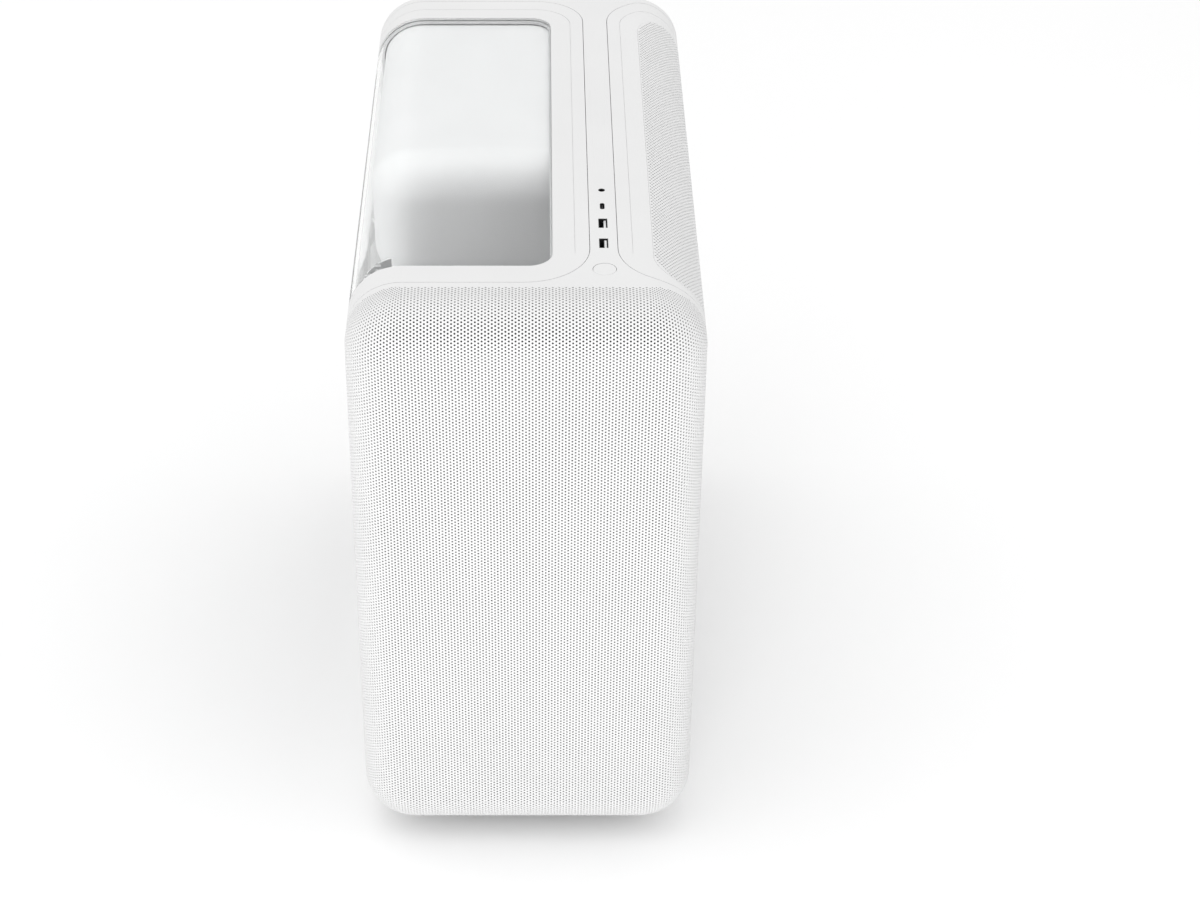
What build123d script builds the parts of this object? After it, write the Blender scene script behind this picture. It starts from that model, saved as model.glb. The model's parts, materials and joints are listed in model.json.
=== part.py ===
from build123d import *
import math
import os

os.makedirs("parts", exist_ok=True)

# A white desktop computer tower with a pillow-shaped perforated front, a bent
# glass window that wraps from the top over the left side, a perforated right
# cover, and a narrow spine along the top with the power button and the ports.
# X is to the right seen from the front, -Y is the front, +Z is up. The origin
# is the middle of the footprint, on the surface that the feet stand on.

# ---- Driving dimensions, mm ----
CASE_WIDTH = 240
CASE_DEPTH = 498
BODY_HEIGHT = 446
FOOT_HEIGHT = 12
CORNER_ROUND = 38  # the four long edges, seen from the front
FRONT_ROUND = 30  # the pillow edge of the front
REAR_ROUND = 8

FRAME_WALL = 3
SHELL_WALL = 2.5
STEEL = 1.5
GLASS = 3
SEAM = 0.4  # gap between the frame and the side covers
SLIP = 0.1  # gap between pieces that stand face to face

TOP = FOOT_HEIGHT + BODY_HEIGHT
MID_Z = FOOT_HEIGHT + BODY_HEIGHT / 2
SIDE = CASE_WIDTH / 2
FRONT = -CASE_DEPTH / 2
BACK = CASE_DEPTH / 2
FACE = FRONT + FRONT_ROUND  # where the pillow edge of the front begins


def behind(distance):
    """The Y of a feature that lies this far behind the pillow edge."""
    return FACE + distance


# The frame: a rim behind the front panel, a rim at the rear, a spine between.
PANEL_END = behind(10.8)
RIM_END = behind(15.5)
REAR_RIM = behind(455)
SPINE_LEFT = 43
SPINE_RIGHT = 61.5
SPINE_MID = (SPINE_LEFT + SPINE_RIGHT) / 2
FRONT_FLARE = 44.5
REAR_FLARE = 38
FLANGE_REACH = 14  # how far the front rim's inner flange reaches in

# The decorative groove that follows the seam on each side cover.
GROOVE = 0.4
GROOVE_STEP = 10
GROOVE_REAR = behind(439.6)
GROOVE_ROUND = 28

# The window and the perforated insert.
WINDOW_RIGHT = 17.3
WINDOW_FRONT = behind(37.5)
WINDOW_REAR = behind(423.5)
WINDOW_LOW = 62
WINDOW_CORNER = 16
SEAT = 6  # width of the ledge behind the perforated insert
GLASS_SEAT = 0.8  # width of the ledge that the glass is bonded to
INSERT_LEFT = 85.4
INSERT_FRONT = behind(22)
INSERT_REAR = behind(428)
INSERT_LOW = 50
INSERT_CORNER = 28

# Where the covers end underneath, and the plate between them.
COVER_FOOT = 78
FLOOR_TOP = FOOT_HEIGHT + 2.5

# Inner structure.
TRAY_X = 62
REAR_PLATE_Y = 236
BRACKET_Y = behind(60)
BRACKET_INSET = 7
BRACKET_MARGIN = -91  # the tall left margin ends here
FAN_X = -27
FRONT_FAN = 120
FRONT_FAN_Z = (85, 210, 335)
FAN_HOLES = FRONT_FAN - 15
FAN_DEPTH = 25
REAR_FAN = 120
REAR_FAN_AT = (-52, 282)

# The rounded pod for the power supply, under the window.
POD_LEFT = -113.8
POD_RIGHT = 40
POD_LOW = 344
POD_HIGH = 451.8
POD_FRONT = behind(187)
POD_ROUND = 31
PSU = ((-95, 30), (106, REAR_PLATE_Y), (370, 433.5))

# The mainboard stands on the tray and faces left.
BOARD_GAP = 6.5
BOARD_THICK = 1.6
BOARD_BACK = TRAY_X - BOARD_GAP
BOARD_FACE = BOARD_BACK - BOARD_THICK
BOARD_Y = (-10, 234)
BOARD_Z = (40, 345)
SLOT_PITCH = 20.32
SLOT_TOP = 166.5
SLOT_COUNT = 7
CARD_Z = SLOT_TOP - SLOT_PITCH

# Front controls, along the middle of the spine.
BUTTON_Y = behind(32.8)
BUTTON_R = 7.8
BUTTON_TRAVEL = 1.5
STUD_REACH = 2.2  # how far the ball studs stand into the frame's flange
PORT_USB_Y = (behind(67.4), behind(94.8))
PORT_C_Y = behind(118.7)
PORT_AUDIO_Y = behind(141.7)
PORT_BOARD_TOP = 442


# ---- Helpers ----
def across(y):
    """A plane facing the front, at this depth, with its origin mid-height."""
    return Plane(origin=(0, y, MID_Z), x_dir=(1, 0, 0), z_dir=(0, -1, 0))


def upright(x):
    """A plane facing right: local x is Y and local y is Z."""
    return Plane(origin=(x, 0, 0), x_dir=(0, 1, 0), z_dir=(1, 0, 0))


def block(x, y, z, mode=Mode.ADD):
    """A box between the given limits, in the builder that is open."""
    centre = (sum(x) / 2, sum(y) / 2, sum(z) / 2)
    with Locations(centre):
        Box(x[1] - x[0], y[1] - y[0], z[1] - z[0], mode=mode)


def post_x(y, z, radius, x, mode=Mode.ADD):
    """A round bar along X between two X values."""
    with Locations(((x[0] + x[1]) / 2, y, z)):
        Cylinder(radius, x[1] - x[0], rotation=(0, 90, 0), mode=mode)


def post_y(x, z, radius, y, mode=Mode.ADD):
    """A round bar along Y between two Y values."""
    with Locations((x, (y[0] + y[1]) / 2, z)):
        Cylinder(radius, y[1] - y[0], rotation=(90, 0, 0), mode=mode)


def post_z(x, y, radius, z, mode=Mode.ADD):
    """A round bar along Z between two Z values."""
    with Locations((x, y, (z[0] + z[1]) / 2)):
        Cylinder(radius, z[1] - z[0], mode=mode)


def section(inset, mode=Mode.ADD):
    """The case's cross-section, made smaller all round by inset."""
    width = CASE_WIDTH - 2 * inset
    height = BODY_HEIGHT - 2 * inset
    RectangleRounded(width, height, CORNER_ROUND - inset, mode=mode)


def tube(y, outer, inner):
    """A length of the case's wall between two insets."""
    with BuildPart() as wall:
        with BuildSketch(across(y[0])):
            section(outer)
            section(inner, mode=Mode.SUBTRACT)
        extrude(amount=-(y[1] - y[0]))
    return wall.part


def cover_region(side, gap):
    """The plan of one side cover: a long field with two rounded corners."""
    seam = SPINE_LEFT - gap if side < 0 else SPINE_RIGHT + gap
    reach = side * (SIDE + 10)
    front, rear = RIM_END + gap, REAR_RIM - gap
    with BuildPart() as region:
        with BuildSketch(Plane.XY.offset(MID_Z)) as plan:
            with Locations(((seam + reach) / 2, (front + rear) / 2)):
                Rectangle(abs(reach - seam), rear - front)
            inner = plan.vertices().sort_by_distance((seam, front))[0]
            fillet(inner, FRONT_FLARE - gap)
            inner = plan.vertices().sort_by_distance((seam, rear))[0]
            fillet(inner, REAR_FLARE - gap)
        extrude(amount=BODY_HEIGHT)
    return region.part


def bent_sheet(side, edge, y, low, corner, outer, inner, grow=0):
    """A sheet bent over the case's top edge, with rounded corners.

    edge is its X on the top, low its lowest Z; grow widens its outline.
    """
    edge -= side * grow
    y = (y[0] - grow, y[1] + grow)
    low -= grow
    reach = side * (SIDE + 60)
    wall = tube(y, outer, inner)
    with BuildPart() as plan:
        with BuildSketch(Plane.XY.offset(low)):
            with Locations(((edge + reach) / 2, (y[0] + y[1]) / 2)):
                RectangleRounded(abs(reach - edge), y[1] - y[0], corner + grow)
        extrude(amount=BODY_HEIGHT)
    with BuildPart() as elevation:
        with BuildSketch(upright(min(edge, reach))):
            with Locations(((y[0] + y[1]) / 2, low + BODY_HEIGHT / 2)):
                RectangleRounded(y[1] - y[0], BODY_HEIGHT, corner + grow)
        extrude(amount=abs(reach - edge))
    with BuildPart() as sheet:
        add(wall)
        add(plan.part, mode=Mode.INTERSECT)
        add(elevation.part, mode=Mode.INTERSECT)
    return sheet.part


def window_sheet(outer, inner, grow=0):
    """A sheet with the window's outline."""
    return bent_sheet(
        -1,
        WINDOW_RIGHT,
        (WINDOW_FRONT, WINDOW_REAR),
        WINDOW_LOW,
        WINDOW_CORNER,
        outer,
        inner,
        grow,
    )


def insert_sheet(outer, inner, grow=0):
    """A sheet with the perforated insert's outline."""
    return bent_sheet(
        1,
        INSERT_LEFT,
        (INSERT_FRONT, INSERT_REAR),
        INSERT_LOW,
        INSERT_CORNER,
        outer,
        inner,
        grow,
    )


def groove_cut(side):
    """The thin groove beside the seam: along the spine, then round the rear."""
    inner_x = SPINE_LEFT - GROOVE_STEP if side < 0 else SPINE_RIGHT + GROOVE_STEP
    reach = side * (SIDE + 10)
    start = behind(54)
    with BuildPart() as band:
        with BuildSketch(Plane.XY.offset(MID_Z)) as plan:
            with Locations(((inner_x + reach) / 2, (start + GROOVE_REAR) / 2)):
                Rectangle(abs(reach - inner_x), GROOVE_REAR - start)
            fillet(plan.vertices().sort_by_distance((inner_x, GROOVE_REAR))[0], GROOVE_ROUND)
        extrude(amount=BODY_HEIGHT)
        with BuildSketch(Plane.XY.offset(MID_Z)) as core:
            shifted = inner_x + side * GROOVE
            with Locations(((shifted + reach) / 2, (start + GROOVE_REAR) / 2 - GROOVE)):
                Rectangle(abs(reach - shifted), GROOVE_REAR - start)
            rear = (shifted, GROOVE_REAR - GROOVE)
            fillet(core.vertices().sort_by_distance(rear)[0], GROOVE_ROUND - GROOVE)
        extrude(amount=BODY_HEIGHT, mode=Mode.SUBTRACT)
        low = (min(0, reach), max(0, reach))
        block(low, (GROOVE_REAR - GROOVE, GROOVE_REAR), (0, MID_Z))
    surface = tube((RIM_END, REAR_RIM), -1, GROOVE)
    with BuildPart() as cut:
        add(surface)
        add(band.part, mode=Mode.INTERSECT)
    return cut.part


def save(part, name):
    """Label a finished piece and write it."""
    part.label = name
    export_step(part, f"parts/{name}.step")


# ---- Outer case ----
# The perforated front is one drawn shell; its 1.5 mm holes stand on a fine
# hexagonal lattice and are too many to cut here, so it is a closed skin.
with BuildPart() as front_mesh_panel:
    with BuildSketch(across(PANEL_END)):
        section(0)
    extrude(amount=PANEL_END - FRONT)
    fillet(front_mesh_panel.faces().sort_by(Axis.Y)[0].edges(), FRONT_ROUND)
    offset(amount=-STEEL, openings=front_mesh_panel.faces().sort_by(Axis.Y)[-1])
save(front_mesh_panel.part, "front_mesh_panel")

# A moulded frame inside the front panel carries its filter and its ball studs.
CARRIER = (PANEL_END - 7, PANEL_END - SLIP)
STUD_Z = (70, MID_Z, 400)
STUD_X = 112
with BuildPart() as front_panel_carrier:
    with BuildSketch(across(CARRIER[0])):
        section(STEEL + SLIP)
        section(FLANGE_REACH, mode=Mode.SUBTRACT)
    extrude(amount=-(CARRIER[1] - CARRIER[0]))
    for side in (-1, 1):
        for z in STUD_Z:
            post_y(side * STUD_X, z, 2.2, (CARRIER[1], PANEL_END + STUD_REACH))
            with Locations((side * STUD_X, PANEL_END + STUD_REACH, z)):
                Sphere(2.4)
save(front_panel_carrier.part, "front_panel_carrier")

with BuildPart() as front_dust_filter:
    with BuildSketch(across(CARRIER[0] - 1.2)):
        section(STEEL + 4)
    extrude(amount=-1.1)
save(front_dust_filter.part, "front_dust_filter")

left_region = cover_region(-1, 0)
right_region = cover_region(1, 0)
with BuildPart() as backbone_frame:
    with BuildSketch(across(PANEL_END)):
        section(0)
    extrude(amount=-(BACK - PANEL_END))
    fillet(backbone_frame.faces().sort_by(Axis.Y)[-1].edges(), REAR_ROUND)
    with BuildSketch(across(PANEL_END)):
        section(FRAME_WALL)
    extrude(amount=-(BACK - PANEL_END), mode=Mode.SUBTRACT)
    # The covers take the place of the wall on both sides of the spine.
    add(left_region, mode=Mode.SUBTRACT)
    add(right_region, mode=Mode.SUBTRACT)
    block((-SIDE - 5, SIDE + 5), (RIM_END, REAR_RIM), (0, MID_Z + 1), mode=Mode.SUBTRACT)
    # An inner flange behind the front panel, with holes for its studs.
    with BuildSketch(across(PANEL_END)):
        section(FRAME_WALL - 0.5)
        section(FLANGE_REACH, mode=Mode.SUBTRACT)
    extrude(amount=-STEEL * 2)
    for side in (-1, 1):
        for z in STUD_Z:
            post_y(side * STUD_X, z, 2.6, (PANEL_END - 1, PANEL_END + 9), mode=Mode.SUBTRACT)
    # The power button's hole and the port cut-outs.
    post_z(SPINE_MID, BUTTON_Y, BUTTON_R + 0.25, (TOP - 9, TOP + 1), mode=Mode.SUBTRACT)
    for y in PORT_USB_Y:
        half = (SPINE_MID - 3.1, SPINE_MID + 3.1)
        block(half, (y - 6.55, y + 6.55), (TOP - 9, TOP + 1), mode=Mode.SUBTRACT)
    with BuildSketch(Plane.XY.offset(TOP - 9)):
        with Locations((SPINE_MID, PORT_C_Y)):
            SlotOverall(8.9, 3.3, rotation=90)
    extrude(amount=10, mode=Mode.SUBTRACT)
    post_z(SPINE_MID, PORT_AUDIO_Y, 2.4, (TOP - 9, TOP + 1), mode=Mode.SUBTRACT)
save(backbone_frame.part, "backbone_frame")

# The left cover: a moulded shell with a stepped seat for the bent glass.
cover_wall = tube((RIM_END + SEAM, REAR_RIM - SEAM), 0, SHELL_WALL)
left_field = cover_region(-1, SEAM)
right_field = cover_region(1, SEAM)
glass_cut = window_sheet(-1, SHELL_WALL + 1, grow=0.35)
rebate_outer = window_sheet(SHELL_WALL - 0.5, GLASS + 2.2, grow=SEAT)
rebate_inner = window_sheet(SHELL_WALL - 1, GLASS + 3, grow=2.5)
ledge_outer = window_sheet(GLASS + 0.7, GLASS + 2.2, grow=SEAT)
ledge_inner = window_sheet(GLASS, GLASS + 3, grow=-GLASS_SEAT)
left_groove = groove_cut(-1)
with BuildPart() as left_shell:
    add(rebate_outer)
    add(rebate_inner, mode=Mode.SUBTRACT)
    add(ledge_outer)
    add(ledge_inner, mode=Mode.SUBTRACT)
    add(cover_wall)
    block((SPINE_MID, SIDE + 5), (FRONT, BACK), (0, TOP + 5), mode=Mode.SUBTRACT)
    block((-COVER_FOOT, SIDE + 5), (FRONT, BACK), (0, MID_Z), mode=Mode.SUBTRACT)
    add(glass_cut, mode=Mode.SUBTRACT)
    add(left_groove, mode=Mode.SUBTRACT)
with BuildPart() as left_below:
    block((-SIDE - 5, SIDE), (FRONT, BACK), (0, MID_Z))
left_allowed = left_field + left_below.part
with BuildPart() as left_cover:
    add(left_shell.part)
    add(left_allowed, mode=Mode.INTERSECT)
save(left_cover.part, "left_cover")

window_glass = window_sheet(0, GLASS)
save(window_glass, "window_glass")

# A seal lies under the glass and laps over the ledge's edge.
seal_flat = window_sheet(GLASS + 0.05, GLASS + 0.65)
seal_lip = window_sheet(GLASS + 0.05, GLASS + 2.2, grow=-GLASS_SEAT - 0.05)
seal_hole = window_sheet(GLASS - 0.5, GLASS + 3, grow=-GLASS_SEAT - 0.45)
with BuildPart() as glass_gasket:
    add(seal_flat)
    add(seal_lip)
    add(seal_hole, mode=Mode.SUBTRACT)
save(glass_gasket.part, "glass_gasket")

# The right cover: a moulded shell round a perforated steel insert.
insert_cut = insert_sheet(-1, SHELL_WALL + 1, grow=SLIP)
insert_seat = insert_sheet(STEEL + SLIP, SHELL_WALL + 1.5, grow=SEAT)
insert_open = insert_sheet(0, SHELL_WALL + 3, grow=-SEAT)
right_groove = groove_cut(1)
with BuildPart() as right_shell:
    add(cover_wall)
    block((-SIDE - 5, SPINE_MID), (FRONT, BACK), (0, TOP + 5), mode=Mode.SUBTRACT)
    block((-SIDE - 5, COVER_FOOT), (FRONT, BACK), (0, MID_Z), mode=Mode.SUBTRACT)
    add(insert_cut, mode=Mode.SUBTRACT)
    add(insert_seat)
    add(insert_open, mode=Mode.SUBTRACT)
    add(right_groove, mode=Mode.SUBTRACT)
with BuildPart() as right_below:
    block((-SIDE, SIDE + 5), (FRONT, BACK), (0, MID_Z))
right_allowed = right_field + right_below.part
with BuildPart() as right_cover:
    add(right_shell.part)
    add(right_allowed, mode=Mode.INTERSECT)
save(right_cover.part, "right_cover")

side_mesh_insert = insert_sheet(0, STEEL)
save(side_mesh_insert, "side_mesh_insert")

with BuildPart() as side_dust_filter:
    with BuildSketch(upright(SIDE - SHELL_WALL - 3.2)):
        with Locations(((INSERT_FRONT + INSERT_REAR) / 2, 235)):
            RectangleRounded(INSERT_REAR - INSERT_FRONT - 8, 340, 12)
    extrude(amount=1.2)
save(side_dust_filter.part, "side_dust_filter")

with BuildPart() as base_plate:
    foot = (-COVER_FOOT + SEAM, COVER_FOOT - SEAM)
    block(foot, (RIM_END + SEAM, REAR_RIM - SEAM), (FOOT_HEIGHT, FLOOR_TOP))
save(base_plate.part, "base_plate")

FOOT_X = 58
FOOT_Y = (-165, 185)
FOOT_R = 15
with BuildPart() as feet:
    for x in (-FOOT_X, FOOT_X):
        for y in FOOT_Y:
            post_z(x, y, FOOT_R, (0, FOOT_HEIGHT))
    fillet(feet.faces().group_by(Axis.Z)[0].edges(), 2)
save(feet.part, "feet")

# ---- Inner structure ----
with BuildPart() as motherboard_tray:
    block((TRAY_X, TRAY_X + STEEL), (-150, REAR_PLATE_Y), (FLOOR_TOP, 450))
    with BuildSketch(upright(TRAY_X - 1)):
        for z in (90, 180, 270, 350):
            with Locations((-35, z)):
                RectangleRounded(26, 60, 10)
        with Locations((130, 265)):
            RectangleRounded(110, 100, 10)
        with Locations((100, 365)):
            RectangleRounded(120, 22, 8)
    extrude(amount=STEEL + 2, mode=Mode.SUBTRACT)
save(motherboard_tray.part, "motherboard_tray")

IO_X = (9.5, 54.2)
IO_Z = (181, 340)
SLOT_X = (-42, 48)
with BuildPart() as rear_plate:
    with BuildSketch(across(REAR_PLATE_Y)):
        section(FRAME_WALL + SLIP)
    extrude(amount=-STEEL)
    cut = (REAR_PLATE_Y - 1, REAR_PLATE_Y + STEEL + 1)
    block(IO_X, cut, IO_Z, mode=Mode.SUBTRACT)
    for slot in range(SLOT_COUNT):
        z = SLOT_TOP - SLOT_PITCH * slot
        block(SLOT_X, cut, (z - 6.2, z + 6.2), mode=Mode.SUBTRACT)
    # Rings of slots let the rear fan's air out.
    with BuildSketch(across(REAR_PLATE_Y - 1)):
        for ring in range(4):
            radius = 16 + 12 * ring
            with Locations((REAR_FAN_AT[0], REAR_FAN_AT[1] - MID_Z)):
                with PolarLocations(radius, 6 + 6 * ring):
                    Circle(4.2)
    extrude(amount=-(STEEL + 2), mode=Mode.SUBTRACT)
    psu_face = ((PSU[0][0] + 3, PSU[0][1] - 3), (PSU[2][0] + 3, PSU[2][1] - 3))
    block(psu_face[0], cut, psu_face[1], mode=Mode.SUBTRACT)
save(rear_plate.part, "rear_plate")

with BuildPart() as slot_covers:
    for slot in (0, 3, 4, 5, 6):
        z = SLOT_TOP - SLOT_PITCH * slot
        block((SLOT_X[0] - 6, SLOT_X[1] + 8), (REAR_PLATE_Y - 1.1, REAR_PLATE_Y), (z - 9, z + 9))
save(slot_covers.part, "slot_covers")

with BuildPart() as fan_bracket:
    with BuildSketch(across(BRACKET_Y)):
        section(BRACKET_INSET)
        for z in FRONT_FAN_Z:
            with Locations((FAN_X, z - MID_Z)):
                Circle(FRONT_FAN / 2 - 4, mode=Mode.SUBTRACT)
    extrude(amount=-STEEL)
    block((-70, 70), (BRACKET_Y, BRACKET_Y + STEEL), (FLOOR_TOP, 30))
    # Its top is cut low under the window and round the port board.
    notch = (BRACKET_MARGIN, SPINE_MID + 9)
    deep = (BRACKET_Y - 1, BRACKET_Y + STEEL + 1)
    block(notch, deep, (PORT_BOARD_TOP - 4, TOP), mode=Mode.SUBTRACT)
    # The left margin, which the window shows, has a comb of cooling slots.
    for row in range(24):
        z = 444.4 - 3.85 * row
        reach = (-109, -98) if z < 438 else (-102, -98)
        block(reach, deep, (z - 1, z + 1), mode=Mode.SUBTRACT)
save(fan_bracket.part, "fan_bracket")


# ---- Fans ----
def fan_frame(size, plane, depth=FAN_DEPTH):
    """A square fan frame; the plane is its inlet face and looks outward."""
    with BuildPart() as frame:
        with BuildSketch(plane):
            RectangleRounded(size, size, 6)
            Circle(size / 2 - 3, mode=Mode.SUBTRACT)
            with GridLocations(size - 15, size - 15, 2, 2):
                Circle(2.15, mode=Mode.SUBTRACT)
        extrude(amount=-depth)
        with BuildSketch(plane.offset(-depth)):
            Circle(size * 0.17)
            with PolarLocations(size * 0.32, 4, start_angle=45):
                Rectangle(size * 0.37, 4)
        extrude(amount=2.5)
        with BuildSketch(plane.offset(-depth)):
            Circle(2)
        extrude(amount=depth - 6)
    return frame.part


def fan_rotor(size, plane, depth=FAN_DEPTH, blades=9):
    """A hub with pitched blades that turns on the frame's pin."""
    hub = size * 0.16
    tip = size / 2 - 5
    with BuildPart(plane) as rotor:
        with Locations((0, 0, -(depth - 1) / 2)):
            Cylinder(hub, depth - 9)
        with PolarLocations((hub + tip) / 2 - 1, blades):
            with Locations((0, 0, -(depth - 1) / 2)):
                Box(tip - hub + 2, 1.6, depth - 9, rotation=(38, 0, 0))
        with Locations((0, 0, -(depth - 1) / 2 - 1)):
            Cylinder(2.05, depth - 9, mode=Mode.SUBTRACT)
    return rotor.part


def facing_front(x, y, z):
    """A plane that looks forward, for a fan that draws from the front."""
    return Plane(origin=(x, y, z), x_dir=(1, 0, 0), z_dir=(0, -1, 0))


for number, z in enumerate(FRONT_FAN_Z, start=1):
    plane = facing_front(FAN_X, BRACKET_Y + STEEL, z)
    save(fan_frame(FRONT_FAN, plane), f"front_fan_frame_{number}")
    save(fan_rotor(FRONT_FAN, plane), f"front_fan_rotor_{number}")

rear_fan_plane = facing_front(REAR_FAN_AT[0], REAR_PLATE_Y - FAN_DEPTH, REAR_FAN_AT[1])
save(fan_frame(REAR_FAN, rear_fan_plane), "rear_fan_frame")
save(fan_rotor(REAR_FAN, rear_fan_plane), "rear_fan_rotor")

# ---- Mainboard and what it carries ----
COOLER = ((-105, 15), (105, 157), (205, 325))
CPU_Y, CPU_Z = 131, 265
MOUNT_YZ = [(y, z) for y in (0, 80, 206) for z in (48, 190, 337)]
with BuildPart() as motherboard:
    block((BOARD_FACE, BOARD_BACK), BOARD_Y, BOARD_Z)
    for y, z in MOUNT_YZ:
        post_x(y, z, 2, (BOARD_FACE - 1, BOARD_BACK + 1), mode=Mode.SUBTRACT)
save(motherboard.part, "motherboard")

with BuildPart() as board_standoffs:
    for y, z in MOUNT_YZ:
        post_x(y, z, 3.2, (BOARD_BACK, TRAY_X))
        post_x(y, z, 1.7, (BOARD_BACK, TRAY_X - 1.5), mode=Mode.SUBTRACT)
save(board_standoffs.part, "board_standoffs")

with BuildPart() as screws:
    for y, z in MOUNT_YZ:
        post_x(y, z, 3.2, (BOARD_FACE - 2, BOARD_FACE))
        post_x(y, z, 1.55, (BOARD_FACE - 0.1, BOARD_BACK + 3.5))
    for z in FRONT_FAN_Z:
        for dx in (-FAN_HOLES / 2, FAN_HOLES / 2):
            for dz in (-FAN_HOLES / 2, FAN_HOLES / 2):
                post_y(FAN_X + dx, z + dz, 4, (BRACKET_Y - 2, BRACKET_Y))
save(screws.part, "screws")

with BuildPart() as cpu_socket:
    block((BOARD_FACE - 4, BOARD_FACE), (CPU_Y - 26, CPU_Y + 26), (CPU_Z - 30, CPU_Z + 30))
    pocket = (BOARD_FACE - 5, BOARD_FACE - 2)
    block(pocket, (CPU_Y - 19, CPU_Y + 19), (CPU_Z - 19, CPU_Z + 19), mode=Mode.SUBTRACT)
save(cpu_socket.part, "cpu_socket")

with BuildPart() as processor:
    package = (BOARD_FACE - 5.5, BOARD_FACE - 2)
    block(package, (CPU_Y - 18.7, CPU_Y + 18.7), (CPU_Z - 18.7, CPU_Z + 18.7))
save(processor.part, "processor")

RAM_Y = (44, 53.5, 63, 72.5)
RAM_Z = (198, 336)
with BuildPart() as ram_modules:
    for y in (RAM_Y[1], RAM_Y[3]):
        block((BOARD_FACE - 33, BOARD_FACE - 3), (y - 0.7, y + 0.7), (RAM_Z[0] + 2.5, RAM_Z[1] - 2.5))
        spreader = (BOARD_FACE - 36, BOARD_FACE - 8)
        block(spreader, (y - 3, y + 3), (RAM_Z[0] + 2.5, RAM_Z[1] - 2.5))
save(ram_modules.part, "ram_modules")

with BuildPart() as board_connectors:
    for y in RAM_Y:
        block((BOARD_FACE - 7, BOARD_FACE), (y - 3, y + 3), RAM_Z)
        slit = (BOARD_FACE - 8, BOARD_FACE - 3)
        block(slit, (y - 0.8, y + 0.8), (RAM_Z[0] + 2, RAM_Z[1] - 2), mode=Mode.SUBTRACT)
    for slot in (1, 4):
        z = SLOT_TOP - SLOT_PITCH * slot
        block((BOARD_FACE - 11, BOARD_FACE), (90, 180), (z - 3.7, z + 3.7))
        block((BOARD_FACE - 12, BOARD_FACE - 4), (92, 178), (z - 0.9, z + 0.9), mode=Mode.SUBTRACT)
    block((BOARD_FACE - 13, BOARD_FACE), (14, 24), (240, 292))
    block((BOARD_FACE - 13, BOARD_FACE), (178, 198), (331, 341))
save(board_connectors.part, "board_connectors")

with BuildPart() as board_heatsinks:
    for y, z in (((186, 200), (212, 318)), ((90, 172), (322, 340))):
        block((BOARD_FACE - 24, BOARD_FACE), y, z)
    for step in range(10):
        z = 218 + 10 * step
        block((BOARD_FACE - 25, BOARD_FACE - 8), (180, 210), (z, z + 4), mode=Mode.SUBTRACT)
    block((BOARD_FACE - 7, BOARD_FACE), (10, 70), (60, 128))
    for step in range(5):
        z = 68 + 12 * step
        block((BOARD_FACE - 8, BOARD_FACE - 4), (9, 71), (z, z + 4), mode=Mode.SUBTRACT)
save(board_heatsinks.part, "board_heatsinks")

PORT_STACKS = ((186, 200), (204, 220), (224, 240), (246, 262), (268, 284), (290, 304), (308, 336))
with BuildPart() as rear_io_ports:
    for low, high in PORT_STACKS:
        block((BOARD_FACE - 34, BOARD_FACE), (210, REAR_PLATE_Y + 0.6), (low, high))
        for step in (0, 1):
            x = BOARD_FACE - 31 + 16 * step
            mouth = (REAR_PLATE_Y - 3, REAR_PLATE_Y + 2)
            block((x, x + 12), mouth, (low + 2, high - 2), mode=Mode.SUBTRACT)
save(rear_io_ports.part, "rear_io_ports")

with BuildPart() as io_shield:
    shield = (REAR_PLATE_Y + 0.1, REAR_PLATE_Y + 1.2)
    block((IO_X[0] + 0.2, IO_X[1] - 0.2), shield, (IO_Z[0] + 0.2, IO_Z[1] - 0.2))
    for low, high in PORT_STACKS:
        opening = (BOARD_FACE - 34.2, BOARD_FACE + 1)
        block(opening, (REAR_PLATE_Y - 1, REAR_PLATE_Y + 3), (low - 0.2, high + 0.2), mode=Mode.SUBTRACT)
save(io_shield.part, "io_shield")

# ---- Processor cooler ----
with BuildPart() as cooler_heatsink:
    block((BOARD_FACE - 13.5, BOARD_FACE - 5.5), (CPU_Y - 20, CPU_Y + 20), (CPU_Z - 20, CPU_Z + 20))
    for dz in (-12, -4, 4, 12):
        post_x(CPU_Y, CPU_Z + dz, 3, (COOLER[0][0] + 2, BOARD_FACE - 10))
    for fin in range(22):
        x = COOLER[0][0] + 4 + 5 * fin
        block((x, x + 0.8), COOLER[1], COOLER[2])
save(cooler_heatsink.part, "cooler_heatsink")

cooler_fan_plane = facing_front(-45, COOLER[1][0] - FAN_DEPTH, CPU_Z)
save(fan_frame(REAR_FAN, cooler_fan_plane), "cooler_fan_frame")
save(fan_rotor(REAR_FAN, cooler_fan_plane), "cooler_fan_rotor")

# ---- Graphics card ----
CARD_Y = (-62, 232)
CARD_X = (-60, BOARD_FACE - 11.5)
with BuildPart() as graphics_board:
    block(CARD_X, CARD_Y, (CARD_Z - 0.8, CARD_Z + 0.8))
    block((CARD_X[1] - 1, BOARD_FACE - 5), (93, 177), (CARD_Z - 0.8, CARD_Z + 0.8))
save(graphics_board.part, "graphics_board")

with BuildPart() as graphics_backplate:
    block((CARD_X[0], CARD_X[1] - 4), CARD_Y, (CARD_Z + 0.8, CARD_Z + 2.3))
    for step in range(6):
        y = CARD_Y[0] + 16 + 8 * step
        block((-40, 20), (y, y + 3), (CARD_Z, CARD_Z + 3), mode=Mode.SUBTRACT)
save(graphics_backplate.part, "graphics_backplate")

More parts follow.
